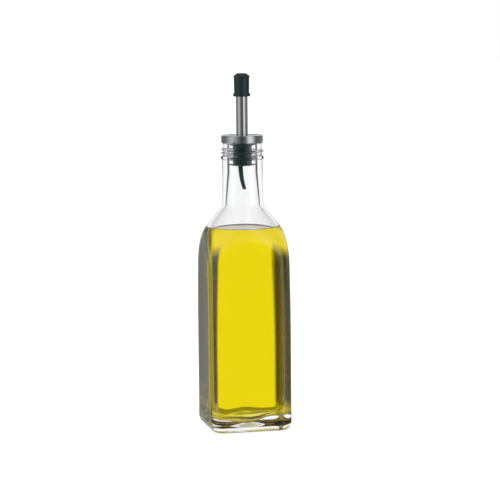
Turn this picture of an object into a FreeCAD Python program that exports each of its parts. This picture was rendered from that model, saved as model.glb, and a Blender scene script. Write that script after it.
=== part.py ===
"""Square glass bottle of table oil with a push-in steel pourer, as a parametric document.

The frame: origin at the middle of the base, +Z up the axis of the neck, X and Y square to
the four flat faces. Lengths are millimetres, angles are degrees.
The bottle and its cavity are both a rounded square column turned down on the axis to a
domed shoulder and a round neck, so one function makes the two. The pourer's pieces are
drawn from the glass rim, where the pourer sits, and are lifted to it by their Placements.
"""
import FreeCAD, Part
import os
import re

import Sketcher
from FreeCAD import Rotation, Vector

doc = FreeCAD.newDocument("OilBottle")
TOUCHING = 1e-4

# ---------------------------------------------------------------- driving sizes
SIZES = [
    ("side", 62.0, "bottle, across the flats"),
    ("corner_radius", 10.35, "upright corners of the bottle, outside"),
    ("heel_radius", 6.0, "rounding between the walls and the base"),
    ("wall", 3.0, "glass of the walls and the shoulder"),
    ("base_glass", 9.5, "glass under the cavity"),
    ("inner_heel_radius", 6.5, "rounding between the cavity's walls and its floor"),
    ("push_up_radius", 21.0, "hollow under the base"),
    ("push_up_depth", 2.0, "height of that hollow"),
    ("shoulder_start", 120.5, "height where the shoulder leaves the upright corners"),
    ("shoulder_radius", 49.0, "arc of the shoulder, outside"),
    ("shoulder_slope", 50.0, "slope of the cone above the arc, from level"),
    ("shoulder_margin", 0.3, "how far the shoulder's widest circle passes the corners"),
    ("arch_radius", 5.0, "rounding where the flat faces end in arches"),
    ("neck_foot_radius", 15.6, "neck, outside, at the shoulder"),
    ("neck_radius", 15.2, "neck, outside, under the bead"),
    ("neck_blend", 8.0, "hollow rounding at the foot of the neck"),
    ("neck_length", 47.4, "from the foot of the neck to the rim"),
    ("finish_radius", 14.7, "glass between the bead and the rim"),
    ("finish_length", 9.6, "from the rim down to the bead"),
    ("bead_radius", 16.1, "bead round the neck"),
    ("bead_height", 2.6, "height of the bead"),
    ("bead_rounding", 0.8, "rounding of the bead"),
    ("rim_rounding", 1.2, "rounding of the rim, outside"),
    ("bore_radius", 10.0, "bore that the stopper seats in"),
    ("bore_length", 22.0, "straight length of the bore"),
    ("throat_radius", 12.6, "inside of the neck, at the shoulder"),
    ("mouth_chamfer", 0.7, "chamfer at the mouth of the bore"),
    ("oil_over_shoulder", 30.5, "oil's surface above the start of the shoulder"),
    ("collar_radius", 15.8, "steel collar on the rim"),
    ("collar_height", 5.85, "height of the collar"),
    ("collar_sheet", 0.8, "steel of the collar"),
    ("collar_rounding", 0.75, "rounding of the collar's upper edge"),
    ("collar_lip_rounding", 0.35, "rounding of the collar's lower edge"),
    ("spout_radius", 4.4, "steel spout tube"),
    ("spout_sheet", 0.5, "wall of the spout tube"),
    ("spout_seat", 12.6, "depth of the spout below the rim"),
    ("stopper_wall", 2.65, "stopper round the spout, between its fins"),
    ("stopper_length", 16.7, "stopper below the rim"),
    ("stopper_rounding", 0.8, "rounding at the foot of the stopper"),
    ("fin_count", 4, "fins that seal in the bore"),
    ("fin_pitch", 4.95, "from fin to fin"),
    ("fin_edge", 0.7, "thickness of a fin at its edge"),
    ("fin_root", 1.7, "thickness of a fin at the core"),
    ("first_fin", 1.4, "from the rim down to the first fin"),
    ("fit_gap", 0.05, "gap all round between pieces that seat in each other"),
    ("pour_hole_radius", 1.6, "hole that the oil leaves the bottle by"),
    ("pour_hole_offset", 2.7, "that hole, off the axis"),
    ("pourer_turn", -13.0, "how the pourer is turned in the neck, about Z"),
    ("vent_root_radius", 1.8, "vent tube where it leaves the stopper"),
    ("vent_tip_radius", 1.15, "vent tube at its tip"),
    ("vent_bore_radius", 0.6, "bore of the vent tube"),
    ("vent_offset", 1.4, "vent tube, off the axis, at the stopper"),
    ("vent_bow", 2.9, "how far the tube bows back across the axis"),
    ("vent_drop", 17.6, "vent tube below the stopper"),
    ("vent_seat", 3.0, "vent tube held in the stopper"),
    ("vent_tip_rounding", 0.4, "rounding of the vent tube's tip"),
    ("cap_foot_height", 34.6, "foot of the cap above the rim"),
    ("cap_height", 17.4, "height of the cap"),
    ("cap_foot_wall", 2.0, "flange at the foot of the cap, round the spout"),
    ("cap_foot_thickness", 2.4, "height of that flange"),
    ("cap_waist_wall", 1.2, "cap above its flange, round the spout"),
    ("cap_body_wall", 1.35, "cap under its head, round the spout"),
    ("cap_head_wall", 1.7, "lip of the cap's head, round the spout"),
    ("cap_head_height", 3.2, "head of the cap, with its dome"),
    ("cap_lip", 0.9, "upright edge of the head"),
    ("cap_top_radius", 3.6, "flat on top of the cap"),
    ("cap_rounding", 0.7, "rounding of the cap's flange and lip"),
    ("cap_dome_rounding", 2.5, "rounding between the cap's dome and its flat"),
    ("cap_end", 3.2, "thickness of the cap over the spout"),
]

sheet = doc.addObject("Spreadsheet::Sheet", "Sizes")
for row, (alias, value, meaning) in enumerate(SIZES, start=1):
    sheet.set(f"A{row}", meaning)
    sheet.set(f"B{row}", str(value))
    sheet.setAlias(f"B{row}", alias)
doc.recompute()


def sized(formula):
    """Turn a formula of size names into an expression on the sheet's cells."""
    functions = r"(?:sin|cos|tan|sqrt|min|deg)\b"
    return re.sub(rf"\b(?!{functions})([a-z][a-z_]+)\b", r"<<Sizes>>.\1", formula)


def number(formula):
    """The present value of a formula of size names."""
    return float(sheet.evalExpression(sized(formula)))


# ---------------------------------------------------------------- places worked out from the sizes
def shoulder(inset):
    """The shoulder of the outer form, or of one that lies inset inside it, as formulas.

    Returns the widest radius, the arc's radius, the radius of the arc's centre, and the
    radius and height where the arc runs into the cone.
    """
    corner_reach = "(side / 2 - corner_radius) * sqrt(2) + corner_radius"
    widest = f"({corner_reach} + shoulder_margin - {inset})"
    arc = f"(shoulder_radius - {inset})"
    centre = f"({widest} - {arc})"
    cone_radius = f"({centre} + {arc} * sin(shoulder_slope * 1 deg))"
    cone_height = f"(shoulder_start + {arc} * cos(shoulder_slope * 1 deg))"
    return widest, arc, centre, cone_radius, cone_height


def neck_foot_height(inset, radius):
    """Where a neck of that radius meets the cone of the shoulder."""
    *_, cone_radius, cone_height = shoulder(inset)
    return f"({cone_height} + ({cone_radius} - {radius}) * tan(shoulder_slope * 1 deg))"


RIM = f"({neck_foot_height('0', 'neck_foot_radius')} + neck_length)"
OIL_LEVEL = "(shoulder_start + oil_over_shoulder)"
SPOUT_HOLE = "(spout_radius + fit_gap)"
STOPPER_CORE = f"({SPOUT_HOLE} + stopper_wall)"
CAP_TOP = "(cap_foot_height + cap_height)"
CAP_BORE_END = f"({CAP_TOP} - cap_end)"


# ---------------------------------------------------------------- drawing helpers
def new_body(label):
    """A PartDesign body, named and labelled."""
    body = doc.addObject("PartDesign::Body", label)
    body.Label = label
    return body


def new_sketch(body, name, role="XZ_Plane"):
    """A sketch on one of the body's own origin planes. XZ keeps x as radius, y as height."""
    sketch = body.newObject("Sketcher::SketchObject", name)
    plane = next(item for item in body.Origin.OriginFeatures if item.Role == role)
    sketch.AttachmentSupport = [(plane, "")]
    sketch.MapMode = "FlatFace"
    return sketch


def bind(sketch, constraint, formula):
    """Tie one of the sketch's constraints to the sizes."""
    index = sketch.addConstraint(constraint)
    sketch.renameConstraint(index, f"bound_{index}")
    sketch.setExpression(f"Constraints.bound_{index}", sized(formula))


def draw_profile(sketch, corners, arcs=()):
    """Draw a closed profile through corners, each a pair of formulas.

    arcs maps the number of a corner to the radius of the arc that leaves it and the
    formulas of that arc's centre. Each other stretch is straight.
    """
    arcs = dict(arcs)
    points = [Vector(number(across), number(up), 0) for across, up in corners]
    for index, start in enumerate(points):
        end = points[(index + 1) % len(points)]
        if index in arcs:
            radius, centre = arcs[index]
            middle = Vector(number(centre[0]), number(centre[1]), 0)
            halfway = (start + end) * 0.5 - middle
            through = middle + halfway.normalize() * number(radius)
            sketch.addGeometry(Part.Arc(start, through, end))
        else:
            sketch.addGeometry(Part.LineSegment(start, end))
    for index, (across, up) in enumerate(corners):
        before = (index - 1) % len(corners)
        leaves = end_near(sketch, index, points[index])
        arrives = end_near(sketch, before, points[index])
        sketch.addConstraint(Sketcher.Constraint("Coincident", before, arrives, index, leaves))
        place_point(sketch, index, leaves, across, up)
    for index, (radius, _) in arcs.items():
        bind(sketch, Sketcher.Constraint("Radius", index, number(radius)), radius)


def end_near(sketch, geometry, point):
    """Which end of a line or arc lies at the point: 1 its start, 2 its end."""
    gaps = [(sketch.getPoint(geometry, end) - point).Length for end in (1, 2)]
    return 1 + gaps.index(min(gaps))


def place_point(sketch, geometry, end, across, up):
    """Tie a point of the sketch to the formulas of its two coordinates."""
    horizontal, vertical = number(across), number(up)
    if abs(horizontal) < TOUCHING:
        sketch.addConstraint(Sketcher.Constraint("PointOnObject", geometry, end, -2))
    else:
        bind(sketch, Sketcher.Constraint("DistanceX", -1, 1, geometry, end, horizontal), across)
    if abs(vertical) < TOUCHING:
        sketch.addConstraint(Sketcher.Constraint("PointOnObject", geometry, end, -1))
    else:
        bind(sketch, Sketcher.Constraint("DistanceY", -1, 1, geometry, end, vertical), up)


def turned(body, name, corners, arcs=(), kind="Revolution"):
    """Revolve a profile about the body's Z axis, to add (Revolution) or to cut (Groove)."""
    sketch = new_sketch(body, f"{name}_profile")
    draw_profile(sketch, corners, arcs)
    feature = body.newObject(f"PartDesign::{kind}", name)
    feature.Profile = sketch
    feature.ReferenceAxis = (sketch, ["V_Axis"])
    feature.Angle = 360.0
    doc.recompute()
    return feature


def rounded(body, name, radius, chosen):
    """Round the body's edges for which chosen(edge) is true."""
    base = body.Tip
    edges = [f"Edge{index}" for index, edge in enumerate(base.Shape.Edges, start=1) if chosen(edge)]
    if not edges:
        raise RuntimeError(f"no edges for {name}")
    fillet = body.newObject("PartDesign::Fillet", name)
    fillet.Base = (base, edges)
    fillet.setExpression("Radius", sized(radius))
    doc.recompute()
    if fillet.Shape.isNull():
        raise RuntimeError(f"{name} failed")
    return fillet


def circle_at(radius, height, across="0"):
    """Choose the level circular edge with this radius and height, off the axis by across."""
    def chosen(edge):
        curve = edge.Curve
        if not isinstance(curve, Part.Circle) or abs(curve.Radius - number(radius)) > TOUCHING:
            return False
        return (curve.Center - Vector(number(across), 0, number(height))).Length < TOUCHING
    return chosen


# ---------------------------------------------------------------- the square bottle form
def column_sketch(body, inset):
    """The rounded square that the column is drawn up from, centred on the axis."""
    sketch = new_sketch(body, f"{body.Label}_square", "XY_Plane")
    corner = f"(corner_radius - {inset})"
    face = f"(side / 2 - {inset})"
    flat = f"({face} - {corner})"
    corners = []
    arcs = {}
    for sign_x, sign_y in ((1, 1), (-1, 1), (-1, -1), (1, -1)):
        ends = [(face, flat), (flat, face)]
        if sign_x != sign_y:
            ends.reverse()
        arcs[len(corners)] = (corner, (f"{sign_x} * {flat}", f"{sign_y} * {flat}"))
        corners += [(f"{sign_x} * {across}", f"{sign_y} * {up}") for across, up in ends]
    draw_profile(sketch, corners, arcs)
    return sketch


def turned_column(label, inset, floor, heel, neck_foot, neck):
    """A rounded square column, turned down to a domed shoulder and the neck above it.

    inset is how far it lies inside the bottle's outer form, and floor is its lower end.
    neck lists the corners above the neck's foot, as radius and height, up to the top.
    """
    body = new_body(label)
    body.setExpression("Placement.Base.z", sized(floor))
    top_radius, top = neck[-1]
    column = body.newObject("PartDesign::Pad", f"{label}_column")
    column.Profile = column_sketch(body, inset)
    column.setExpression("Length", sized(f"{top} - {floor}"))
    doc.recompute()

    widest, arc, centre, cone_radius, cone_height = shoulder(inset)
    neck_height = neck_foot_height(inset, neck_foot)
    clear_radius = f"({widest} + corner_radius)"
    clear_height = f"({top} + corner_radius)"
    profile = [(widest, "shoulder_start"), (cone_radius, cone_height), (neck_foot, neck_height)]
    profile += neck
    profile += [(top_radius, clear_height), (clear_radius, clear_height),
                (clear_radius, "shoulder_start")]
    lowered = [(radius, f"{height} - {floor}") for radius, height in profile]
    turned(body, f"{label}_shoulder", lowered,
           {0: (arc, (centre, f"shoulder_start - {floor}"))}, kind="Groove")

    start = number(f"shoulder_start - {floor}")

    def on_arch(edge):
        return isinstance(edge.Curve, Part.BSplineCurve) and edge.BoundBox.ZMin > start

    rounded(body, f"{label}_neck_foot", f"neck_blend + {inset}",
            circle_at(neck_foot, f"{neck_height} - {floor}"))
    rounded(body, f"{label}_arches", "arch_radius", on_arch)
    rounded(body, f"{label}_heel", heel, lambda edge: edge.BoundBox.ZMax < TOUCHING)
    return body


def bottle_outside():
    """The glass without its cavity, with the bead, the rim and the hollow base."""
    bead_top = f"({RIM} - finish_length)"
    bead_foot = f"({bead_top} - bead_height)"
    body = turned_column("bottle_outside", "0", "0", "heel_radius", "neck_foot_radius", [
        ("neck_radius", bead_foot),
        ("bead_radius", bead_foot),
        ("bead_radius", bead_top),
        ("finish_radius", bead_top),
        ("finish_radius", RIM),
    ])
    rounded(body, "bead_under", "bead_rounding", circle_at("bead_radius", bead_foot))
    rounded(body, "bead_over", "bead_rounding", circle_at("bead_radius", bead_top))
    rounded(body, "rim", "rim_rounding", circle_at("finish_radius", RIM))
    arc = "((push_up_radius^2 + push_up_depth^2) / (2 * push_up_depth))"
    corners = [("0", "0"), ("push_up_radius", "0"), ("0", "push_up_depth")]
    turned(body, "push_up", corners, {1: (arc, ("0", f"push_up_depth - {arc}"))}, kind="Groove")
    return body


def bottle_cavity():
    """What the glass holds, from its thick floor up through the open mouth."""
    mouth = "(bore_radius + mouth_chamfer)"
    return turned_column("bottle_cavity", "wall", "base_glass", "inner_heel_radius", "throat_radius", [
        ("bore_radius", f"({RIM} - bore_length)"),
        ("bore_radius", f"({RIM} - mouth_chamfer)"),
        (mouth, RIM),
        (mouth, f"({RIM} + mouth_chamfer)"),
    ])


def make_bottle(outside, cavity):
    """The glass: the turned column less its cavity."""
    bottle = doc.addObject("Part::Cut", "bottle")
    bottle.Base = outside
    bottle.Tool = cavity


def make_oil(cavity):
    """The oil: all of the cavity up to the level of its surface."""
    below = doc.addObject("Part::Box", "below_oil_level")
    for length in ("Length", "Width"):
        below.setExpression(length, sized("side"))
    below.setExpression("Height", sized(OIL_LEVEL))
    for across in "xy":
        below.setExpression(f"Placement.Base.{across}", sized("-side / 2"))
    oil = doc.addObject("Part::Common", "oil")
    oil.Base = cavity
    oil.Tool = below


# ---------------------------------------------------------------- the pourer
def pourer_body(label, is_turned=False):
    """A body drawn from the glass rim up, at height 0, and lifted to the rim."""
    body = new_body(label)
    body.Placement = FreeCAD.Placement(Vector(), Rotation(Vector(0, 0, 1), 1.0))
    body.setExpression("Placement.Base.z", sized(RIM))
    body.setExpression("Placement.Rotation.Angle", sized("pourer_turn") if is_turned else "0")
    return body


def circle_sketch(body, name, radius, across, height):
    """A level circle, off the axis by across, at a height above the rim."""
    sketch = new_sketch(body, name, "XY_Plane")
    sketch.setExpression("AttachmentOffset.Base.z", sized(height))
    centre = Vector(number(across), 0, 0)
    sketch.addGeometry(Part.Circle(centre, Vector(0, 0, 1), number(radius)))
    place_point(sketch, 0, 3, across, "0")
    bind(sketch, Sketcher.Constraint("Radius", 0, number(radius)), radius)
    return sketch


def hole(body, name, radius, across):
    """A hole from the rim plane down through the body."""
    pocket = body.newObject("PartDesign::Pocket", name)
    pocket.Profile = circle_sketch(body, f"{name}_circle", radius, across, "0")
    pocket.Type = "ThroughAll"
    doc.recompute()


def make_stopper():
    """The stopper: a flange in the collar, and a finned core in the bore."""
    body = pourer_body("stopper", is_turned=True)
    flange = "(collar_radius - collar_sheet - fit_gap)"
    flange_top = "(collar_height - collar_sheet)"
    turned(body, "core", [
        ("0", "-stopper_length"),
        (STOPPER_CORE, "-stopper_length"),
        (STOPPER_CORE, "0"),
        (flange, "0"),
        (flange, flange_top),
        ("0", flange_top),
    ])
    rounded(body, "stopper_foot", "stopper_rounding",
            circle_at(STOPPER_CORE, "-stopper_length"))
    middle = "(first_fin + fin_pitch * (fin_count - 1))"
    root = f"({STOPPER_CORE} - fin_edge)"
    edge = "(bore_radius - fit_gap)"
    fin = turned(body, "fin", [
        (root, f"-{middle} - fin_root / 2"),
        (edge, f"-{middle} - fin_edge / 2"),
        (edge, f"-{middle} + fin_edge / 2"),
        (root, f"-{middle} + fin_root / 2"),
    ])
    fins = body.newObject("PartDesign::LinearPattern", "fins")
    fins.Originals = [fin]
    fins.Direction = (fin.Profile[0], ["V_Axis"])
    fins.setExpression("Length", sized("fin_pitch * (fin_count - 1)"))
    fins.setExpression("Occurrences", sized("fin_count"))
    body.Tip = fins
    doc.recompute()
    turned(body, "spout_seat", [
        ("0", "-spout_seat"),
        (SPOUT_HOLE, "-spout_seat"),
        (SPOUT_HOLE, "collar_height"),
        ("0", "collar_height"),
    ], kind="Groove")
    hole(body, "pour_hole", "pour_hole_radius", "pour_hole_offset")
    hole(body, "vent_hole", "vent_root_radius + fit_gap", "-vent_offset")


def make_vent_tube():
    """The vent tube: held in the stopper's foot, then bowed and tapered to its tip."""
    body = pourer_body("vent_tube", is_turned=True)
    held = body.newObject("PartDesign::Pad", "held_end")
    held.Profile = circle_sketch(body, "held_circle", "vent_root_radius", "-vent_offset",
                                 "-stopper_length")
    held.setExpression("Length", sized("vent_seat"))
    doc.recompute()
    stations = [step / 4 for step in range(5)]
    heights = [f"-stopper_length - vent_drop * {share}" for share in stations]
    places = [f"vent_bow * {share ** 2} - vent_offset" for share in stations]
    radii = [f"vent_root_radius + (vent_tip_radius - vent_root_radius) * {share}"
             for share in stations]
    loft(body, "free_end", "AdditiveLoft", radii, places, heights)
    bores = ["vent_bore_radius"] * (len(stations) + 1)
    loft(body, "vent_bore", "SubtractiveLoft", bores, ["-vent_offset"] + places,
         ["-stopper_length + vent_seat"] + heights)
    tip = "-stopper_length - vent_drop"
    rounded(body, "vent_tip", "vent_tip_rounding",
            circle_at("vent_tip_radius", tip, "vent_bow - vent_offset"))


def loft(body, name, kind, radii, places, heights):
    """A loft through level circles, from the first to the last."""
    sections = [circle_sketch(body, f"{name}_{index}", *section)
                for index, section in enumerate(zip(radii, places, heights))]
    feature = body.newObject(f"PartDesign::{kind}", name)
    feature.Profile = sections[0]
    feature.Sections = sections[1:]
    doc.recompute()


def make_collar():
    """The steel collar: a pressed cup, upside down over the stopper's flange."""
    body = pourer_body("collar")
    inner = "(collar_radius - collar_sheet)"
    under = "(collar_height - collar_sheet)"
    turned(body, "cup", [
        (SPOUT_HOLE, under),
        (inner, under),
        (inner, "0"),
        ("collar_radius", "0"),
        ("collar_radius", "collar_height"),
        (SPOUT_HOLE, "collar_height"),
    ])
    rounded(body, "collar_top", "collar_rounding", circle_at("collar_radius", "collar_height"))
    rounded(body, "collar_lip", "collar_lip_rounding", circle_at("collar_radius", "0"))


def make_spout():
    """The steel spout: a thin straight tube from the stopper up into the cap."""
    body = pourer_body("spout")
    inner = "(spout_radius - spout_sheet)"
    top = f"({CAP_BORE_END} - fit_gap)"
    turned(body, "tube", [
        (inner, "-spout_seat"),
        ("spout_radius", "-spout_seat"),
        ("spout_radius", top),
        (inner, top),
    ])


def make_cap():
    """The cap pushed over the spout: a flange, a tapered body and a domed head."""
    body = pourer_body("spout_cap")
    flange_top = "(cap_foot_height + cap_foot_thickness)"
    head_foot = f"({CAP_TOP} - cap_head_height)"
    lip_top = f"({head_foot} + cap_lip)"
    foot, waist, under_head, head = (
        f"({SPOUT_HOLE} + cap_{part}_wall)" for part in ("foot", "waist", "body", "head"))
    turned(body, "cap", [
        (SPOUT_HOLE, "cap_foot_height"),
        (foot, "cap_foot_height"),
        (foot, flange_top),
        (waist, flange_top),
        (under_head, head_foot),
        (head, head_foot),
        (head, lip_top),
        ("cap_top_radius", CAP_TOP),
        ("0", CAP_TOP),
        ("0", CAP_BORE_END),
        (SPOUT_HOLE, CAP_BORE_END),
    ])
    rounded(body, "flange_under", "cap_rounding", circle_at(foot, "cap_foot_height"))
    rounded(body, "flange_over", "cap_rounding", circle_at(foot, flange_top))
    rounded(body, "cap_lip_edge", "cap_rounding", circle_at(head, lip_top))
    rounded(body, "cap_dome", "cap_dome_rounding", circle_at("cap_top_radius", CAP_TOP))


# ---------------------------------------------------------------- build, check, write
outside = bottle_outside()
cavity = bottle_cavity()
make_bottle(outside, cavity)
make_oil(cavity)
make_stopper()
make_vent_tube()
make_collar()
make_spout()
make_cap()
doc.recompute()

for item in doc.Objects:
    if {"Invalid", "Error"} & set(item.State):
        raise RuntimeError(f"{item.Name} failed: {item.State}")

NODES = ["bottle", "oil", "stopper", "vent_tube", "collar", "spout", "spout_cap"]
shapes = {name: doc.getObject(name).Shape for name in NODES}
for name, shape in shapes.items():
    if shape.isNull() or not shape.isValid() or len(shape.Solids) != 1:
        raise RuntimeError(f"{name} isn't one valid solid")

os.makedirs("parts", exist_ok=True)
for name, shape in shapes.items():
    shape.exportStep(f"parts/{name}.step")
    print(name, round(shape.Volume / 1000, 2), "ml")
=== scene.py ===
# %% [markdown]
# # A square oil bottle with a pourer
# This lesson dresses seven plain solids as a table bottle of olive oil: a square glass
# bottle, the oil in it, and a push-in pourer with a finned stopper, a vent tube, a steel
# collar, a steel spout and a black cap. The solids come in as a fixed frame, in metres,
# and every new piece is modelled at its own place in that frame.

# %% Load the frame
from math import atan2, ceil, cos, exp, hypot, log, pi, radians, sin, sqrt, tan
import bpy
from mathutils import Matrix, Vector
from mathutils.kdtree import KDTree


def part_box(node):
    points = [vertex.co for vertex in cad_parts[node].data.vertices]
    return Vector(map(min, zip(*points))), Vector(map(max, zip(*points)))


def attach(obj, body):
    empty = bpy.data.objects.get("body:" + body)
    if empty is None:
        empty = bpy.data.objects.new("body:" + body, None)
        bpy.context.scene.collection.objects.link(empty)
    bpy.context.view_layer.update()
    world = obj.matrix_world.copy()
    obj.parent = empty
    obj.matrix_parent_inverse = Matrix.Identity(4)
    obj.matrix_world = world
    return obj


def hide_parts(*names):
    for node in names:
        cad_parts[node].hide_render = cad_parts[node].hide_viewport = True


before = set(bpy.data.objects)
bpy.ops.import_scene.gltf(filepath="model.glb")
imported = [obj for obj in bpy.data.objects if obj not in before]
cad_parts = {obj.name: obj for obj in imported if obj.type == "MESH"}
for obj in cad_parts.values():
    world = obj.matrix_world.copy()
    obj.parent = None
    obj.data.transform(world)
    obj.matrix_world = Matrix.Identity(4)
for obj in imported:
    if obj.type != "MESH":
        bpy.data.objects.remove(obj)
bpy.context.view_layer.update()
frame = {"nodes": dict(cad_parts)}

MM = 0.001
print("solids:", ", ".join(frame["nodes"]))

# %% [markdown]
# Most of the pieces are turned, so their places come from a few heights that the frame
# gives: the rim of the glass, and the top and bottom of each node. Reading them from the
# frame keeps the dressed pieces on their solids.

# %% Read the main heights, in millimetres
def span(node):
    """The lowest and highest height of a node, in millimetres."""
    low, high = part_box(node)
    return low.z / MM, high.z / MM


HALF_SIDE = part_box("bottle")[1].x / MM
RIM = span("bottle")[1]
OIL_LEVEL = span("oil")[1]
COLLAR_TOP = span("collar")[1]
CAP_FOOT, CAP_TOP = span("spout_cap")
print(f"rim {RIM:.1f}, oil {OIL_LEVEL:.1f}, collar {COLLAR_TOP:.1f}, cap {CAP_FOOT:.1f} to {CAP_TOP:.1f} mm")

# %% [markdown]
# ## Turning
# A turned piece is drawn as half of its section, then spun about the upright axis, as
# on a lathe. The outline is a chain of points, with each corner rounded by its own
# radius. Drawing the chain first and spinning it once gives even rings all the way
# round, which glass and polished steel need for clean reflections.

# %% Round the corners of an outline
def rounded_corner(before, corner, after, radius, steps=6):
    """Points along an arc that rounds one corner of an outline."""
    to_before = (before - corner).normalized()
    to_after = (after - corner).normalized()
    half = to_before.angle(to_after) / 2
    reach = min(radius / tan(half), (before - corner).length * 0.49, (after - corner).length * 0.49)
    radius = reach * tan(half)
    centre = corner + (to_before + to_after).normalized() * (radius / sin(half))
    start = corner + to_before * reach - centre
    end = corner + to_after * reach - centre
    whole = atan2(start.x * end.y - start.y * end.x, start.dot(end))
    return [centre + Matrix.Rotation(whole * step / steps, 2) @ start for step in range(steps + 1)]


def rounded_outline(corners, closed=True):
    """A chain of points through corners, given as (radius, height, rounding) in millimetres."""
    chain = []
    places = [Vector((radius, height)) for radius, height, _ in corners]
    for index, (radius, height, rounding) in enumerate(corners):
        is_end = not closed and index in (0, len(corners) - 1)
        if rounding and not is_end:
            after = places[(index + 1) % len(places)]
            chain += rounded_corner(places[index - 1], places[index], after, rounding)
        else:
            chain.append(places[index])
    return chain


print("an arc of", len(rounded_corner(Vector((0, 1)), Vector((0, 0)), Vector((1, 0)), 0.5)), "points")

# %% [markdown]
# An outline starts as one point: a tiny plane merged at its centre. Extruding that point
# from corner to corner draws the chain, as by hand. A spin leaves a double ring where it
# closes and a bunch of double points on the axis, so close points are merged after it,
# and the normals are turned outwards. A screw modifier would do the same, but a spin in
# edit mode gives the finished mesh at once.

# %% Draw an outline and spin it
def draw_outline(name, chain, closed):
    """An edge chain through points given in millimetres, left in edit mode."""
    bpy.ops.object.select_all(action="DESELECT")
    bpy.ops.mesh.primitive_plane_add(size=MM)
    piece = bpy.context.object
    piece.name = piece.data.name = name
    bpy.ops.object.mode_set(mode="EDIT")
    bpy.ops.mesh.select_all(action="SELECT")
    bpy.ops.mesh.merge(type="CENTER")
    bpy.ops.transform.translate(value=(chain[0].x * MM, 0, chain[0].y * MM))
    stops = chain + chain[:1] if closed else chain
    for here, there in zip(stops, stops[1:]):
        step = there - here
        bpy.ops.mesh.extrude_region_move(
            TRANSFORM_OT_translate={"value": (step.x * MM, 0, step.y * MM)})
    return piece


def spin_outline(piece, steps):
    """Spins the drawn outline once round the upright axis, and closes its seam and poles."""
    bpy.ops.mesh.select_all(action="SELECT")
    bpy.ops.mesh.remove_doubles(threshold=0.001 * MM)
    bpy.ops.mesh.select_all(action="SELECT")
    bpy.ops.mesh.spin(steps=steps, angle=2 * pi, center=(0, 0, 0), axis=(0, 0, 1))
    bpy.ops.mesh.select_all(action="SELECT")
    bpy.ops.mesh.remove_doubles(threshold=0.003 * MM)
    bpy.ops.mesh.select_all(action="SELECT")
    bpy.ops.mesh.normals_make_consistent(inside=False)
    bpy.ops.object.mode_set(mode="OBJECT")
    return piece


def turned(name, corners, steps=96, closed=True):
    """A piece turned from corners given as (radius, height, rounding) in millimetres."""
    chain = rounded_outline(corners, closed)
    piece = spin_outline(draw_outline(name, chain, closed), steps)
    bpy.ops.object.shade_smooth_by_angle(angle=radians(38))
    print(name, "has", len(piece.data.polygons), "faces")
    return piece


def dress(piece, slot, material, *nodes):
    """Puts a finish on a piece, sets it on the body and hides the nodes it stands for."""
    piece.data.materials.clear()
    piece.data.materials.append(material)
    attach(piece, "root")
    if nodes:
        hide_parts(*nodes)


# %% [markdown]
# ## The glass
# The bottle was blown in a square mould. Its body is a column with rounded upright
# corners, its shoulder is a dome, and each flat side ends in an arch where the two meet.
# One closed shell, outside and inside, is spun round first. Then it is pressed square:
# each point keeps its height, and its distance from the axis is held to the smaller of
# the dome and the column, with a soft change from one to the other. That puts even rings
# over the arches, where a boolean cut would leave slivers that show as streaks in glass.

# %% The sizes of the glass, in millimetres
CORNER = 10.35
WALL = 3.0
HEEL = 6.0
INNER_HEEL = 6.5
FLOOR = 9.5
HOLLOW_RADIUS = 21.0
HOLLOW_DEPTH = 2.0
SHOULDER_START = 120.5
SHOULDER_ARC = 49.0
SHOULDER_SLOPE = 50.0
SHOULDER_MARGIN = 0.3
COLUMN_SPREAD = 0.08
ARCH_SOFTNESS = 5.0
CORNER_CROWDING = 0.12
NECK_FOOT = 15.6
NECK = 15.2
BEAD = 16.1
FINISH = 14.7
FINISH_TOP = RIM - 1.4
BEAD_TOP = RIM - 9.6
BEAD_FOOT = BEAD_TOP - 2.6
BORE = 10.0
BORE_FOOT = RIM - 22.0
THROAT = 12.6
MOUTH_CHAMFER = 0.7
MOUTH_FOOT = RIM - MOUTH_CHAMFER - 0.4
AROUND = 224
WALL_STEP = 5
FINE_WALL = 6
FINE_WALL_STEP = 1.2
ARC_STEP = radians(1.1)
NECK_STEP = 1.6
THREAD_STEP = 0.22


def column_reach(angle, inset):
    """How far a rounded square, lying inset inside the bottle, reaches at an angle."""
    half = HALF_SIDE - inset
    corner = max(CORNER - inset, 0.6)
    folded = abs((angle + pi / 4) % (pi / 2) - pi / 4)
    if half * tan(folded) <= half - corner:
        return half / cos(folded)
    diagonal = (half - corner) * sqrt(2)
    off = pi / 4 - folded
    return diagonal * cos(off) + sqrt(corner ** 2 - (diagonal * sin(off)) ** 2)


def softer_least(one, other, softness):
    """The smaller of two distances, with a soft change where they are alike."""
    near = max(softness - abs(one - other), 0) / softness
    return min(one, other) - near * near * softness / 4


at_side, at_corner = column_reach(0, 0), column_reach(pi / 4, 0)
print(f"the column reaches {at_side:.1f} mm at a side and {at_corner:.1f} mm at a corner")


# %% [markdown]
# The outline is a list of stations. Each one says how far out and how high it is, and how
# far inside the bottle the square column lies that it is pressed to. The walls, the heel
# and the floor are pressed to a column of their own, and the neck is narrower than any
# column, so pressing leaves it round.

# %% Stations of the shell, from the middle of the base round to the middle of the floor
def steps_between(start, end, longest):
    """Values after start up to end, no further apart than longest."""
    count = max(1, ceil(abs(end - start) / longest))
    return [start + (end - start) * step / count for step in range(1, count + 1)]


def square_station(height, inset, share=1.0):
    """A station on a square column. It starts just outside the column's corners."""
    spread = SHOULDER_MARGIN + max(SHOULDER_START - height, 0) * COLUMN_SPREAD
    return ((column_reach(pi / 4, inset) + spread) * share, height, inset, share)


def heel_stations(floor, inset, radius, steps=9):
    """The rounding from a floor up to the walls that stand inset inside the bottle."""
    made = []
    for step in range(steps + 1):
        turn = pi / 2 * step / steps
        made.append(square_station(floor + radius * (1 - cos(turn)), inset + radius * (1 - sin(turn))))
    return made


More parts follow.
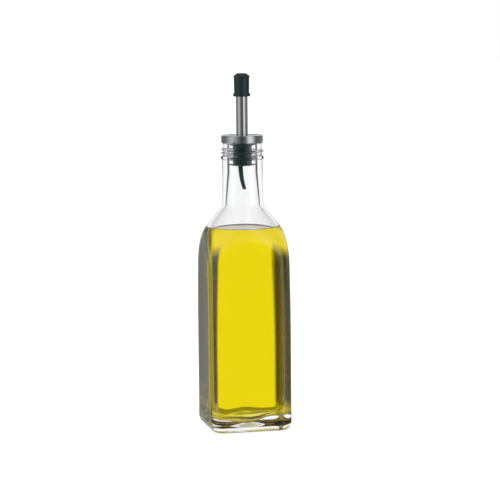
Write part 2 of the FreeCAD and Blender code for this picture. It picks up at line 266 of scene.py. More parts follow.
def wall_stations(start, inset):
    """The upright walls, from above the heel up to the shoulder."""
    fine_from = SHOULDER_START - FINE_WALL
    heights = [start + 0.5, start + 1.5] + steps_between(start + 1.5, fine_from, WALL_STEP)
    heights += steps_between(fine_from, SHOULDER_START, FINE_WALL_STEP)
    return [square_station(height, inset) for height in heights]


def shoulder_stations(inset, foot_radius, blend, above, fine_from):
    """The dome, the cone above it and the neck's foot, then the corners given in above.

    The stations are close together from the height fine_from up.
    """
    widest = column_reach(pi / 4, 0) + SHOULDER_MARGIN - inset
    arc = SHOULDER_ARC - inset
    centre = widest - arc
    slope = radians(SHOULDER_SLOPE)
    made = []
    for turn in steps_between(0, pi / 2 - slope, ARC_STEP):
        made.append((centre + arc * cos(turn), SHOULDER_START + arc * sin(turn), inset, 1.0))
    cone_radius, cone_height = made[-1][:2]
    foot_height = cone_height + (cone_radius - foot_radius) * tan(slope)
    corners = [(cone_radius, cone_height, 0), (foot_radius, foot_height, blend)] + above
    chain = rounded_outline(corners, closed=False)
    for here, there in zip(chain, chain[1:]):
        longest = THREAD_STEP if here.y >= fine_from else NECK_STEP
        count = max(1, ceil((there - here).length / longest))
        for step in range(1, count + 1):
            point = here.lerp(there, step / count)
            made.append((point.x, point.y, inset, 1.0))
    return made


def floor_stations(floor, inset, shares):
    """Rings across a square floor, from the walls in to the middle."""
    return [square_station(floor, inset, share) for share in shares]


def outer_stations():
    """The outside of the glass, from the middle of its hollow base up to the rim."""
    dome = (HOLLOW_RADIUS ** 2 + HOLLOW_DEPTH ** 2) / (2 * HOLLOW_DEPTH)
    made = []
    for step in range(11):
        radius = HOLLOW_RADIUS * step / 10
        height = HOLLOW_DEPTH - dome + sqrt(dome ** 2 - radius ** 2)
        made.append((radius, height, 0, 1.0))
    made += [(HOLLOW_RADIUS + 0.4, 0, 0, 1.0), (HOLLOW_RADIUS + 1.2, 0, 0, 1.0)]
    made += [square_station(0, HEEL, 0.96), square_station(0, HEEL, 0.985)]
    made += heel_stations(0, 0, HEEL) + wall_stations(HEEL, 0)
    neck = [
        (NECK, BEAD_FOOT, 0.5),
        (BEAD, BEAD_FOOT, 0.8),
        (BEAD, BEAD_TOP, 0.8),
        (FINISH, BEAD_TOP, 0.4),
        (FINISH, FINISH_TOP, 0),
    ]
    made += shoulder_stations(0, NECK_FOOT, 8.0, neck, BEAD_TOP)
    return made


def inner_stations(inset, floor):
    """The inside of the glass, from the middle of its floor up to the mouth.

    A smaller inset gives the same form a little way into the glass, for the oil.
    """
    shares = [0, 0.06, 0.12, 0.2, 0.3, 0.4, 0.5, 0.6, 0.7, 0.8, 0.88, 0.95]
    made = floor_stations(floor, inset + INNER_HEEL, shares)
    made += heel_stations(floor, inset, INNER_HEEL) + wall_stations(floor + INNER_HEEL, inset)
    bore = BORE + WALL - inset
    neck = [(bore, BORE_FOOT, 6.0), (bore, MOUTH_FOOT, 0)]
    made += shoulder_stations(inset, THROAT + WALL - inset, 8.0 + inset, neck, RIM)
    return made


def shell_stations():
    """The whole shell: the outside, the rim, and the inside back down to its floor."""
    outside = outer_stations()
    inside = inner_stations(WALL, FLOOR)
    rim = rounded_outline([
        (FINISH, FINISH_TOP, 0),
        (FINISH, RIM, 1.2),
        (BORE + MOUTH_CHAMFER, RIM, 0.2),
        (BORE, RIM - MOUTH_CHAMFER, 0.3),
        (BORE, MOUTH_FOOT, 0),
    ], closed=False)[1:-1]
    return outside + [(point.x, point.y, 0, 1.0) for point in rim] + inside[::-1]


# %% [markdown]
# The screw thread is a ridge that climbs round the finish, the straight glass between
# the bead and the rim. It is raised from the shell itself, so that it bends light as
# one body with the neck. The floor inside the bottle is uneven, and so is the hollow
# under it, as in all pressed and blown glass. That gives the base its streaks of light.

# %% Thread and floor
THREAD_PITCH = 2.7
THREAD_TURNS = 1.7
THREAD_FOOT = BEAD_TOP + 1.0
THREAD_HEIGHT = BEAD - FINISH
THREAD_WIDTH = 0.62
THREAD_START = 0.55
THREAD_FADE = 0.12
THREAD_LOW = BEAD_TOP + 0.4
THREAD_HIGH = RIM - 1.3
FINISH_MIDDLE = BORE + 2
WAVE_DEPTH = 6.0
HOLLOW_RISE = 0.7
HOLLOW_WAVE = 0.35


def thread(angle, height):
    """How far the thread stands out from the finish at an angle and a height."""
    out = 0.0
    for lap in range(3):
        turns = (angle + pi) / (2 * pi) + lap - THREAD_START
        fade = min(max(turns / THREAD_FADE, 0), 1)
        fade *= min(max((THREAD_TURNS - turns) / THREAD_FADE, 0), 1)
        off = (height - THREAD_FOOT - THREAD_PITCH * turns) / THREAD_WIDTH
        out = max(out, THREAD_HEIGHT * fade * exp(-off ** 4))
    return out


def unevenness(across, along):
    """How far the floor inside the bottle stands above its plane, by three crossing waves."""
    wave = 1.5 * sin(across / 7.5 + along / 16.0 + 0.3)
    wave += 0.9 * sin(along / 6.0 - across / 14.0 + 1.0)
    wave += 0.5 * sin((across - along) / 4.2)
    return wave


print(f"the thread stands out {thread(0, THREAD_FOOT + THREAD_PITCH):.1f} mm at most")

# %% [markdown]
# Pressing looks up the station that each point came from, because a point alone doesn't
# say how deep inside the glass it lies. A search tree finds the station by radius and
# height. The points are crowded a little towards the upright corners, where the form
# bends most, and the same pass raises the thread and waves the floor.

# %% Press a spun piece square
def pressed(piece, stations, floor):
    """Holds every point of a spun piece to the square column of its own station."""
    nearest = KDTree(len(stations))
    for index, (radius, height, *_) in enumerate(stations):
        nearest.insert((radius, height, 0), index)
    nearest.balance()
    for vertex in piece.data.vertices:
        x, y, height = vertex.co / MM
        radius = hypot(x, y)
        _, index, _ = nearest.find((radius, height, 0))
        inset, share = stations[index][2:]
        angle = atan2(y, x)
        angle += CORNER_CROWDING * sin(4 * angle)
        if share == 1.0:
            radius = softer_least(radius, column_reach(angle, inset), ARCH_SOFTNESS)
        else:
            radius = min(radius, column_reach(angle, inset) * share)
        if THREAD_LOW < height < THREAD_HIGH and radius > FINISH_MIDDLE:
            radius += thread(angle, height)
        x, y = radius * cos(angle), radius * sin(angle)
        if height < HOLLOW_DEPTH + 0.1 and radius < HOLLOW_RADIUS and inset == 0:
            rise = HOLLOW_RISE + HOLLOW_WAVE * unevenness(y, x)
            height += rise * (1 - (radius / HOLLOW_RADIUS) ** 4)
        if inset > WALL - 1 and abs(height - floor) < WAVE_DEPTH:
            height += unevenness(x, y) * (1 - max(height - floor, 0) / WAVE_DEPTH)
        vertex.co = (x * MM, y * MM, height * MM)
    piece.data.update()


def blown(name, stations, floor):
    """A closed piece spun from its stations and pressed square."""
    chain = [Vector(station[:2]) for station in stations]
    piece = spin_outline(draw_outline(name, chain, closed=False), AROUND)
    pressed(piece, stations, floor)
    bpy.ops.object.shade_smooth()
    print(name, "has", len(piece.data.polygons), "faces from", len(stations), "stations")
    return piece

# %% [markdown]
# The shell is one chain of stations, from the middle of the base up the outside, over
# the rim and down the inside to the middle of the floor. So the glass is one piece with
# two surfaces, and light bends at each of them, as it does in a real wall. A Solidify
# modifier would give an even wall, but no thick floor and no round bore.

# %% Blow the bottle
bottle_glass = blown("bottle_glass", shell_stations(), FLOOR)


# %% [markdown]
# ## The oil
# The oil fills the bottle up to the shoulder. It is spun and pressed in the same way,
# a quarter of a millimetre into the glass all round, so that no film of air shows
# between them. Its surface is level in the middle and climbs where it wets the glass,
# along the curve that a resting liquid takes. That draws the dark line round the edge
# of any liquid in a clear vessel. The climb is then lowered, more at the back than at
# the front, and each point slides out along the leaning glass as it comes down.

# %% Pour the oil
OVERLAP = 0.25
CAPILLARY = 2.2
CLIMB = 2.4
CLIMB_STEPS = 17
FLAT_LEVEL = OIL_LEVEL - 1.2
LEAN = 0.81
CLIMB_KEPT = 0.475
KEPT_IN_FRONT = 0.125


def rest_distance(height):
    """How far from an upright wall an oil surface comes down to a height above its level."""
    share = height / CAPILLARY
    return CAPILLARY * (log(2 / share + sqrt(4 / share ** 2 - 1)) - sqrt(4 - share ** 2))


def oil_stations():
    """The oil's wetted side, then its surface from the wall in to the middle."""
    side = inner_stations(WALL - OVERLAP, FLOOR - OVERLAP)
    top = FLAT_LEVEL + CLIMB
    made = [station for station in side if station[1] < top]
    here, there = made[-1], side[len(made)]
    part = (top - here[1]) / (there[1] - here[1])
    edge = here[0] + (there[0] - here[0]) * part
    made.append((edge, top, *here[2:]))
    edge -= OVERLAP
    for step in range(CLIMB_STEPS):
        above = CLIMB * 0.8 ** step
        away = rest_distance(above) - rest_distance(CLIMB)
        made.append((edge - away, FLAT_LEVEL + above, WALL, 1.0))
    inner = made[-1][0]
    made += [(inner * share, FLAT_LEVEL, 0, 1.0) for share in (0.9, 0.7, 0.5, 0.3, 0.15)]
    return made + [(0.0, FLAT_LEVEL, 0, 1.0)]


def settled(piece):
    """Lowers the climbing edge of the oil along the leaning glass, most of all at the back."""
    for vertex in piece.data.vertices:
        x, y, height = vertex.co / MM
        above = height - FLAT_LEVEL
        if above > 0:
            angle = atan2(y, x)
            keep = CLIMB_KEPT - KEPT_IN_FRONT * sin(angle)
            out = LEAN * (1 - keep) * above
            x, y = x + out * cos(angle), y + out * sin(angle)
            vertex.co = (x * MM, y * MM, (FLAT_LEVEL + keep * above) * MM)
    piece.data.update()


olive_oil = blown("olive_oil", oil_stations(), FLOOR - OVERLAP)
settled(olive_oil)


# %% [markdown]
# ## The pourer
# The steel parts are thin and turned. The collar is a pressed cup over the rim, with a
# shallow step round its top, and the spout is a straight tube. The black cap has a
# flange at its foot, a body that widens upwards and a domed head with a lip.

# %% Turn the collar, the spout and the cap
SPOUT = 4.4
SPOUT_WALL = 0.5
COLLAR = 15.8
COLLAR_SHEET = 0.8
COLLAR_INSIDE = COLLAR - COLLAR_SHEET
FIT = 0.05
SPOUT_HOLE = SPOUT + FIT
SPOUT_FOOT, SPOUT_TOP = span("spout")
CAP_FLANGE = 2.0
CAP_FLANGE_TOP = CAP_FOOT + 2.4

steel_collar = turned("steel_collar", [
    (SPOUT_HOLE, COLLAR_TOP - COLLAR_SHEET, 0.1),
    (COLLAR_INSIDE, COLLAR_TOP - COLLAR_SHEET, 0.3),
    (COLLAR_INSIDE, RIM, 0.15),
    (COLLAR, RIM, 0.35),
    (COLLAR, COLLAR_TOP, 0.75),
    (SPOUT_HOLE, COLLAR_TOP, 0.1),
], steps=160)
steel_spout = turned("steel_spout", [
    (SPOUT - SPOUT_WALL, SPOUT_FOOT, 0.15),
    (SPOUT, SPOUT_FOOT, 0.15),
    (SPOUT, SPOUT_TOP, 0.15),
    (SPOUT - SPOUT_WALL, SPOUT_TOP, 0.15),
], steps=128)
black_spout_cap = turned("black_spout_cap", [
    (SPOUT_HOLE, CAP_FOOT, 0.1),
    (SPOUT_HOLE + CAP_FLANGE, CAP_FOOT, 0.7),
    (SPOUT_HOLE + CAP_FLANGE, CAP_FLANGE_TOP, 0.8),
    (SPOUT_HOLE + 1.2, CAP_FLANGE_TOP, 0.3),
    (SPOUT_HOLE + 1.35, CAP_TOP - 3.4, 0.2),
    (SPOUT_HOLE + 1.7, CAP_TOP - 3.1, 0.2),
    (SPOUT_HOLE + 1.7, CAP_TOP - 2.2, 0.7),
    (3.4, CAP_TOP, 2.6),
    (0, CAP_TOP, 0),
    (0, SPOUT_TOP + FIT, 0),
    (SPOUT_HOLE, SPOUT_TOP + FIT, 0.3),
], steps=96)


# %% [markdown]
# The stopper is one soft moulding: a flange that fills the collar, a core round the
# spout and four thin fins. Pushed into the neck, the fins bend upwards, so each one is
# drawn as a curved lip in the outline before it is spun.

# %% Turn the stopper
CORE = SPOUT_HOLE + 2.65
STOPPER_FOOT = RIM - 16.7
FLANGE = COLLAR_INSIDE - FIT
FLANGE_TOP = COLLAR_TOP - COLLAR_SHEET - 0.02
FIN_DEPTHS = [16.25, 11.3, 6.35, 1.4]


def fin(depth):
    """The outline of one fin, from under its root out to its lip and back over it."""
    root = RIM - depth
    return [
        (CORE, root - 0.75, 0.5),
        (CORE + 1.6, root - 0.35, 0.6),
        (BORE - FIT, root + 0.1, 0.1),
        (BORE - FIT, root + 0.42, 0.1),
        (CORE + 1.5, root + 0.25, 0.6),
        (CORE, root + 0.55, 0.5),
    ]


stopper_outline = [(0, STOPPER_FOOT, 0), (CORE - 0.9, STOPPER_FOOT, 0.4)]
for depth in FIN_DEPTHS:
    stopper_outline += fin(depth)
stopper_outline += [
    (CORE, RIM, 0.2),
    (FLANGE, RIM, 0.2),
    (FLANGE, FLANGE_TOP, 0.3),
    (0, FLANGE_TOP, 0),
]
finned_stopper = turned("finned_stopper", stopper_outline, steps=128)

# %% [markdown]
# The vent tube lets air in as oil goes out. It tapers, and bows back across the axis.
# It is turned straight, with rings at even shares of its length, and every ring is then
# moved sideways along the bow.

# %% Bend the vent tube
VENT_ROOT = 1.8
VENT_TIP = 1.4
VENT_BORE = 0.6
VENT_OFFSET = 1.4
VENT_BOW = 2.9
VENT_TURN = radians(-13)
VENT_FOOT = span("vent_tube")[0]
VENT_TOP = STOPPER_FOOT + 3.0
VENT_SHARES = [0, 0.15, 0.3, 0.45, 0.6, 0.75, 0.9]


def vent_height(share):
    """The height at a share of the way from the stopper down to the tube's foot."""
    return STOPPER_FOOT + (VENT_FOOT - STOPPER_FOOT) * share


vent_outline = [(VENT_BORE, VENT_TOP, 0.1), (VENT_ROOT, VENT_TOP, 0.1)]
for share in VENT_SHARES:
    radius = VENT_ROOT + (VENT_TIP - VENT_ROOT) * share
    vent_outline.append((radius, vent_height(share), 0))
vent_outline += [(VENT_TIP, VENT_FOOT, 0.4), (VENT_BORE, VENT_FOOT, 0.15)]
vent_outline += [(VENT_BORE, vent_height(share), 0) for share in VENT_SHARES[::-1]]
curved_vent_tube = turned("curved_vent_tube", vent_outline, steps=48)
for vertex in curved_vent_tube.data.vertices:
    share = max((STOPPER_FOOT - vertex.co.z / MM) / (STOPPER_FOOT - VENT_FOOT), 0)
    across = VENT_BOW * share ** 2 - VENT_OFFSET
    vertex.co.x += across * cos(VENT_TURN) * MM
    vertex.co.y += across * sin(VENT_TURN) * MM


# %% [markdown]
# ## Finishes
# Each finish is a Principled shader with a little variation from noise in Object
# coordinates. What is the same all over is set on the shader's own sockets. The four
# helpers below build those few nodes, so that each finish takes only some lines.

# %% Start a material
def principled(name, colour, roughness, **values):
    """A material with one Principled shader. Returns its node tree and the shader."""
    material = bpy.data.materials.new(name)
    material.use_nodes = True
    tree = material.node_tree
    shader = tree.nodes["Principled BSDF"]
    shader.inputs["Base Color"].default_value = (*colour, 1)
    shader.inputs["Roughness"].default_value = roughness
    for socket, value in values.items():
        shader.inputs[socket.replace("_", " ")].default_value = value
    return material, tree, shader


def object_noise(tree, scale, detail=2.0, stretch=(1, 1, 1)):
    """Noise in Object coordinates, stretched along the axes."""
    place = tree.nodes.new("ShaderNodeTexCoord")
    mapping = tree.nodes.new("ShaderNodeMapping")
    mapping.inputs["Scale"].default_value = stretch
    noise = tree.nodes.new("ShaderNodeTexNoise")
    noise.inputs["Scale"].default_value = scale
    noise.inputs["Detail"].default_value = detail
    tree.links.new(place.outputs["Object"], mapping.inputs["Vector"])
    tree.links.new(mapping.outputs["Vector"], noise.inputs["Vector"])
    return noise.outputs["Fac"]


def varied(tree, factor, low, high, target):
    """Spreads a factor between two numbers and sends it to a socket."""
    spread = tree.nodes.new("ShaderNodeMapRange")
    spread.inputs["From Min"].default_value = 0.3
    spread.inputs["From Max"].default_value = 0.7
    spread.inputs["To Min"].default_value = low
    spread.inputs["To Max"].default_value = high
    tree.links.new(factor, spread.inputs["Value"])
    tree.links.new(spread.outputs["Result"], target)


def bumped(tree, shader, factor, distance, strength=1.0):
    """A bump from a factor, distance high in metres."""
    bump = tree.nodes.new("ShaderNodeBump")
    bump.inputs["Strength"].default_value = strength
    bump.inputs["Distance"].default_value = distance
    tree.links.new(factor, bump.inputs["Height"])
    tree.links.new(bump.outputs["Normal"], shader.inputs["Normal"])

# %% [markdown]
# The glass is clear, with a trace of blue, and a wide and very low bump bends the light
# a little, as moulded glass does. The oil has no colour on its surface. A volume takes
# the blue out of the light on its way through, so the oil is pale where it is thin and
# deep yellow where it is thick. A tint on the surface would colour both alike.

# %% Glass and oil
GLASS_TINT = (0.992, 0.995, 1.0)
OIL_TINT = (0.996, 0.957, 0.05)
OIL_DENSITY = 100

glass, tree, shader = principled(
    "clear_soda_glass", GLASS_TINT, 0.0, IOR=1.5, Transmission_Weight=1.0)
bumped(tree, shader, object_noise(tree, 40, 1.0), 0.0002, 0.2)

oil, tree, shader = principled(
    "yellow_olive_oil", (1, 1, 1), 0.0, IOR=1.47, Transmission_Weight=1.0)
absorption = tree.nodes.new("ShaderNodeVolumeAbsorption")
absorption.inputs["Color"].default_value = (*OIL_TINT, 1)
absorption.inputs["Density"].default_value = OIL_DENSITY
tree.links.new(absorption.outputs["Volume"], tree.nodes["Material Output"].inputs["Volume"])

# %% [markdown]
# The cap is a hard black moulding. The stopper and its tube are a softer one, and duller.
# Their base colour is a pale blue-black, partly their own colour and partly painted light,
# lifted to make up for the little light that reaches them inside the glass. A grain about
# a millimetre across breaks the sheen of both, in roughness and in a bump far too low to
# see as a shape.

# %% Black plastic
black, tree, shader = principled("black_moulded_plastic", (0.006, 0.018, 0.022), 0.32)
grain = object_noise(tree, 900, 3.0)
varied(tree, grain, 0.28, 0.4, shader.inputs["Roughness"])
bumped(tree, shader, grain, 0.00002, 0.3)

# Painted light: the stopper's base colour is lifted paler and bluer than its own, for the light that reaches
# it through the glass.
soft_black_painted_lighter, tree, shader = principled("soft_moulding_painted_lighter", (0.03, 0.12, 0.155), 0.35)
grain = object_noise(tree, 700, 3.0)
varied(tree, grain, 0.35, 0.5, shader.inputs["Roughness"])
bumped(tree, shader, grain, 0.00002, 0.3)

# %% [markdown]
# The spout is a drawn tube, so its faint streaks run along it: the noise is stretched
# upwards. The collar was turned, and its lines run round it: there the noise is pressed
# flat. Clean steel has one colour, so the roughness carries the variation.

# %% Steel
polished, tree, shader = principled("polished_steel", (0.62, 0.64, 0.65), 0.1, Metallic=1.0)
streaks = object_noise(tree, 300, 3.0, (1, 1, 0.05))
varied(tree, streaks, 0.07, 0.13, shader.inputs["Roughness"])

brushed, tree, shader = principled("brushed_steel", (0.6, 0.63, 0.65), 0.2, Metallic=1.0)
lines = object_noise(tree, 120, 4.0, (0.3, 0.3, 25))
varied(tree, lines, 0.08, 0.14, shader.inputs["Roughness"])
bumped(tree, shader, lines, 0.000002, 0.1)

# %% [markdown]
# Each piece now takes its finish, rides on the one body, and hides the plain solid that
# it stands for. The stopper and its vent tube share a finish, as one moulding would.

# %% Dress the pieces
dress(bottle_glass, "clear_glass", glass, "bottle")
dress(olive_oil, "olive_oil", oil, "oil")
dress(finned_stopper, "black_stopper", soft_black_painted_lighter, "stopper")
dress(curved_vent_tube, "black_stopper", soft_black_painted_lighter, "vent_tube")
dress(steel_collar, "brushed_collar", brushed, "collar")
dress(steel_spout, "polished_spout", polished, "spout")
dress(black_spout_cap, "black_cap", black, "spout_cap")
print("finishes:", ", ".join(paint.name for paint in (glass, oil, black, soft_black_painted_lighter, polished, brushed)))

# %% [markdown]
# ## The studio
# Clear glass has no colour of its own: it shows what stands behind and beside it. The
# classic way to light it is a bright field, a white ground straight behind the bottle
# with darkness beyond its edges, so that the outline turns dark against the white.

# %% The floor
FLOOR_SIZE = 30
FLOOR_GLOW = 0.55

bpy.ops.object.select_all(action="DESELECT")
bpy.ops.mesh.primitive_plane_add(size=FLOOR_SIZE)
floor = bpy.context.object
floor.name = "floor"
floor.visible_transmission = False
floor.visible_glossy = False
ground = bpy.data.materials.new("white_ground")
ground.use_nodes = True
tree = ground.node_tree
shader = tree.nodes["Principled BSDF"]
shader.inputs["Base Color"].default_value = (0.9, 0.9, 0.9, 1)
shader.inputs["Roughness"].default_value = 0.9
shader.inputs["Emission Color"].default_value = (1, 1, 1, 1)
rays = tree.nodes.new("ShaderNodeLightPath")
glow = tree.nodes.new("ShaderNodeMath")
glow.operation = "MULTIPLY"
glow.inputs[1].default_value = FLOOR_GLOW
tree.links.new(rays.outputs["Is Camera Ray"], glow.inputs[0])
tree.links.new(glow.outputs["Value"], shader.inputs["Emission Strength"])
floor.data.materials.append(ground)

# %% [markdown]
# The room round the bottle is the world's background. It is white behind the bottle and
# dark beyond, and each table below gives its brightness by bearing, in degrees from the
# middle of the view. What glass lets through comes from one table for the body and one
# for the neck, which looks out more level. Rays that dip see the table top, and rising
# ones see a grey ceiling. Steep ones see a darker belt, painted shade that stands in for
# the bottle's shadow on the table round its foot. Mirror reflections have a table of
# their own. The camera itself sees plain white.

# %% The tables of the world
VIEW_TURN = -13.12
CEILING_GREY = 0.3
DIFFUSE_GREY = 0.7
CEILING_EDGE = (8, 32)
NECK_EDGE = (-6.2, -5.0)
TABLE_EDGE = (-18, -11)
UNDER_EDGE = (-46, -33)
SEEN_BY_BODY = [
    (-180, 0.05), (-132, 0.04), (-122, 0.06), (-112, 0.8), (-92, 1.07), (-80, 0.12),
    (-55, 0.2), (-46, 0.25), (-42, 0.05), (-22, 0.06), (-17, 0.35), (-12, 1.07),
    (16, 1.07), (20, 0.04), (26, 0.03), (31, 0.38), (55, 0.42), (78, 0.4), (90, 1.07),
    (116, 0.8), (130, 0.05), (180, 0.05),
]
SEEN_BY_NECK = [
    (-180, 0.05), (-132, 0.06), (-118, 0.8), (-90, 1.07), (-78, 0.1), (-50, 0.1),
    (-42, 1.07), (42, 1.07), (50, 0.1), (78, 0.1), (90, 1.07), (116, 0.8), (130, 0.05),
    (180, 0.05),
]
TABLE = [
    (-180, 0.3), (-140, 0.4), (-110, 0.9), (-50, 0.9), (-30, 0.95), (30, 0.95),
    (44, 0.08), (92, 0.08), (104, 0.9), (140, 0.9), (155, 0.3), (180, 0.3),
]
# Painted shade: the darker belt that steep rays see, in place of the bottle's shadow round its foot.
UNDER = [
    (-180, 0.04), (-150, 0.1), (-110, 0.7), (-50, 0.7), (-38, 0.03), (92, 0.03),
    (104, 0.7), (140, 0.7), (155, 0.04), (180, 0.04),
]
REFLECTED = [
    (-180, 0.08), (-172, 0.1), (-157, 0.25), (-146, 0.37), (-124, 0.68), (-108, 0.6),
    (-82, 0.24), (-60, 0.2), (-35, 0.2), (-18, 0.4), (-10, 1.0), (10, 1.0), (18, 0.4),
    (40, 0.35), (60, 0.2), (97, 0.14), (106, 0.3), (114, 0.62), (125, 0.95),
    (137, 1.1), (147, 0.8), (156, 0.3), (168, 0.12), (180, 0.08),
]

# %% [markdown]
# A colour ramp turns a table of bearings into light round the horizon. It is easier to
# change than a ring of boards, and its soft ends leave no hard line in the glass. The
# horizon is then cut into belts by elevation, each with its own ramp.

# %% Make ramps and mix them
def bearing_ramp(tree, share, levels):
    """A ramp of grey levels round the horizon, by bearing from the middle of the view."""
    node = tree.nodes.new("ShaderNodeValToRGB")
    ramp = node.color_ramp
    ramp.elements.remove(ramp.elements[-1])
    for index, (bearing, value) in enumerate(levels):
        position = (bearing + 180) / 360
        element = ramp.elements[0] if index == 0 else ramp.elements.new(position)
        element.position = position
        element.color = (value, value, value, 1)
    tree.links.new(share, node.inputs["Fac"])
    return node.outputs["Color"]


def mixed(tree, factor, first, second):
    """One colour where the factor is 0 and another where it is 1."""
    node = tree.nodes.new("ShaderNodeMix")
    node.data_type = "RGBA"
    tree.links.new(factor, node.inputs["Factor"])
    for name, value in (("A", first), ("B", second)):
        if isinstance(value, float):
            node.inputs[name].default_value = (value, value, value, 1)
        else:
            tree.links.new(value, node.inputs[name])
    return node.outputs["Result"]


def past_edge(tree, height, edge):
    """A factor that goes from 0 to 1 between two elevations, given in degrees."""
    node = tree.nodes.new("ShaderNodeMapRange")
    node.inputs["From Min"].default_value = sin(radians(edge[0]))
    node.inputs["From Max"].default_value = sin(radians(edge[1]))
    tree.links.new(height, node.inputs["Value"])
    return node.outputs["Result"]


# %% The world
world = bpy.data.worlds.new("studio")
bpy.context.scene.world = world
world.use_nodes = True
tree = world.node_tree
place = tree.nodes.new("ShaderNodeTexCoord")
level = tree.nodes.new("ShaderNodeMapping")
level.inputs["Rotation"].default_value = (0, 0, radians(-VIEW_TURN))
parts = tree.nodes.new("ShaderNodeSeparateXYZ")
tree.links.new(place.outputs["Generated"], level.inputs["Vector"])
tree.links.new(level.outputs["Vector"], parts.inputs["Vector"])
around = tree.nodes.new("ShaderNodeMath")
around.operation = "ARCTAN2"
tree.links.new(parts.outputs["X"], around.inputs[0])
tree.links.new(parts.outputs["Y"], around.inputs[1])
share = tree.nodes.new("ShaderNodeMapRange")
share.inputs["From Min"].default_value = -pi
share.inputs["From Max"].default_value = pi
tree.links.new(around.outputs["Value"], share.inputs["Value"])
bearing = share.outputs["Result"]
height = parts.outputs["Z"]
rays = tree.nodes.new("ShaderNodeLightPath")

by_body = bearing_ramp(tree, bearing, SEEN_BY_BODY)
by_neck = bearing_ramp(tree, bearing, SEEN_BY_NECK)
through = mixed(tree, past_edge(tree, height, NECK_EDGE), by_body, by_neck)
through = mixed(tree, past_edge(tree, height, CEILING_EDGE), through, CEILING_GREY)
reflected = bearing_ramp(tree, bearing, REFLECTED)
colour = mixed(tree, rays.outputs["Is Transmission Ray"], reflected, through)
painted_shade_below = bearing_ramp(tree, bearing, UNDER)
table = mixed(tree, past_edge(tree, height, UNDER_EDGE), painted_shade_below, bearing_ramp(tree, bearing, TABLE))
colour = mixed(tree, past_edge(tree, height, TABLE_EDGE), table, colour)
colour = mixed(tree, rays.outputs["Is Diffuse Ray"], colour, DIFFUSE_GREY)
colour = mixed(tree, rays.outputs["Is Camera Ray"], colour, 1.0)
tree.links.new(colour, tree.nodes["Background"].inputs["Color"])
print("the world has", len(tree.nodes), "nodes")


# %% [markdown]
# The world is far away, and some things have to be near. Five upright boards are seen
# only as reflections: a grey one beside the left face, three black ones in front and at
# the right that keep the front face clear, and a grey one behind that shades the
# collar. Two more lie flat just under the foot, and both are painted shade. One is a
# painted shadow, the dark patch where the bottle stands. The other is the bottle's
# painted shadow behind it, grey, and tinted yellow with painted light from the oil.

# %% The boards
def board(name, place, facing, width, bottom, top, value, seen_by="glossy", tint=(1, 1, 1)):
    """An upright board, turned to face a bearing, seen by one kind of ray."""
    bpy.ops.object.select_all(action="DESELECT")
    bpy.ops.mesh.primitive_plane_add(size=1)
    piece = bpy.context.object
    piece.name = name
    middle = Vector((*place, 0))
    across = Vector((cos(facing), -sin(facing), 0)) * width / 2
    corners = [(-1, bottom), (1, bottom), (-1, top), (1, top)]
    for vertex, (side, height) in zip(piece.data.vertices, corners):
        corner = middle + across * side
        vertex.co = (corner.x, corner.y, height)
    paper = bpy.data.materials.new(name + "_paper")
    paper.use_nodes = True
    shader = paper.node_tree.nodes["Principled BSDF"]
    shader.inputs["Base Color"].default_value = (0, 0, 0, 1)
    shader.inputs["Specular IOR Level"].default_value = 0
    shader.inputs["Emission Color"].default_value = (*tint, 1)
    shader.inputs["Emission Strength"].default_value = value
    piece.data.materials.append(paper)
    piece.visible_camera = False
    piece.visible_diffuse = False
    piece.visible_shadow = False
    piece.visible_glossy = seen_by == "glossy"
    piece.visible_transmission = seen_by == "transmission"
    return piece


UNDER_FOOT = 0.4


def laid_board(name, back, front, half_width, value, tint=(1, 1, 1)):
    """A board laid flat just under the foot, between two distances along Y in millimetres."""
    piece = board(name, (0, 0), 0, 1, 0, 0, value, "transmission", tint)
    corners = [(-half_width, front), (half_width, front), (-half_width, back), (half_width, back)]
    for vertex, (x, y) in zip(piece.data.vertices, corners):
        vertex.co = (x * MM, y * MM, -UNDER_FOOT * MM)
    return piece


LOW, HIGH = -0.03, 0.15

board("board_beside", (-0.066, 0.11), 0, 0.06, -0.02, 0.16, 0.43, tint=(0.9, 1, 0.98))
board("board_before", (-0.18, -0.25), 0, 0.64, LOW, HIGH, 0.0)
board("board_corner", (-0.3, -0.125), pi / 2, 0.29, LOW, HIGH, 0.03)
board("board_aside", (0.2, -0.12), pi / 2, 0.4, LOW, HIGH, 0.03)
board("board_behind", (0.113, 0.487), radians(13), 0.12, 0.2, 0.262, 0.2)
# Painted shadow: a dark sheet where the bottle stands, seen through the glass and in its reflections.
painted_foot_shadow = laid_board("board_painted_foot_shadow", HALF_SIDE, -HALF_SIDE, HALF_SIDE, 0.07)
painted_foot_shadow.visible_glossy = True
# Painted shadow behind the bottle, tinted yellow with painted light from the oil.
laid_board("board_painted_cast_shadow", 80, HALF_SIDE + 0.5, 36, 0.35, (1, 1, 0.75))


# %% [markdown]
# Two soft lamps in front, left and right, light the floor and the black parts. Nothing
# glossy or clear sees them, so no lamp shows as a spot on the bottle or on the steel.

# %% The lamps
AIM = Vector((0, 0, 0.12))


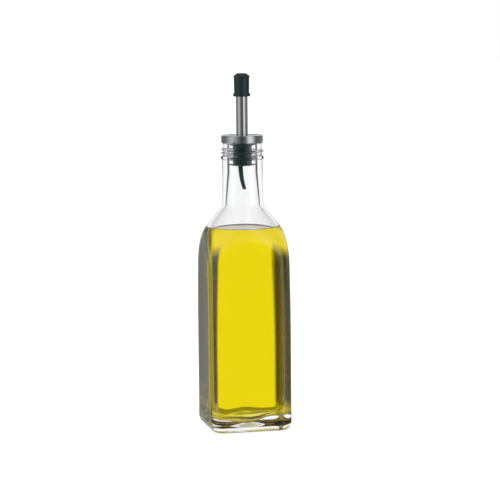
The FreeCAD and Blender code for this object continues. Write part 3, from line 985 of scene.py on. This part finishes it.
def soft_box(name, bearing, height, distance, width, tall, power):
    """An area lamp that faces the middle of the object, at a bearing from the view."""
    lamp = bpy.data.lights.new(name, "AREA")
    lamp.shape = "RECTANGLE"
    lamp.size, lamp.size_y = width, tall
    lamp.energy = power
    holder = bpy.data.objects.new(name, lamp)
    bpy.context.collection.objects.link(holder)
    turn = radians(bearing + VIEW_TURN)
    holder.location = (sin(turn) * distance, -cos(turn) * distance, height)
    aim = AIM - holder.location
    holder.rotation_euler = aim.to_track_quat("-Z", "Y").to_euler()
    holder.visible_transmission = False
    holder.visible_glossy = False
    return holder


key_lamp = soft_box("key_lamp", -50, 0.9, distance=1.2, width=0.5, tall=0.8, power=9)
fill_lamp = soft_box("fill_lamp", 57, 0.7, distance=1.2, width=0.4, tall=0.8, power=5)
print("lamps:", key_lamp.name, "and", fill_lamp.name)

# %% [markdown]
# The camera is a long lens one and a half metres off, a little above the cap, and it
# looks slightly down. From there the bottle shows its front, a narrow left side and a
# sliver of the oil's surface, and its upright edges stay nearly parallel.

# %% The camera
CAMERA_PLACE = Vector((-0.3358, -1.4632, 0.2996))
LOOK_ALONG = (0.227, 0.974)
PITCH = radians(-6.3)
ROLL = radians(-0.565)

lens = bpy.data.cameras.new("camera")
lens.lens = 144.5
lens.sensor_width = 36
lens.clip_start = 0.1
lens.clip_end = 60
camera = bpy.data.objects.new("camera", lens)
bpy.context.collection.objects.link(camera)
bpy.context.scene.camera = camera
look = Vector((LOOK_ALONG[0] * cos(PITCH), LOOK_ALONG[1] * cos(PITCH), sin(PITCH)))
facing = look.to_track_quat("-Z", "Y").to_matrix().to_4x4()
camera.matrix_world = Matrix.Translation(CAMERA_PLACE) @ facing @ Matrix.Rotation(ROLL, 4, "Z")
print(f"the camera stands {hypot(*CAMERA_PLACE.xy):.2f} m away, with a lens of {lens.lens:g} mm")

# %% [markdown]
# Standard shows each colour about as it is written. Light crosses glass, oil and glass
# again, and often turns back at a corner on the way. With few bounces those places
# would go black, so the limits are raised.

# %% Colour and bounces
scene = bpy.context.scene
scene.view_settings.view_transform = "Standard"
scene.cycles.max_bounces = 24
scene.cycles.transmission_bounces = 24
scene.cycles.glossy_bounces = 8
print("up to", scene.cycles.max_bounces, "bounces, for glass inside glass")
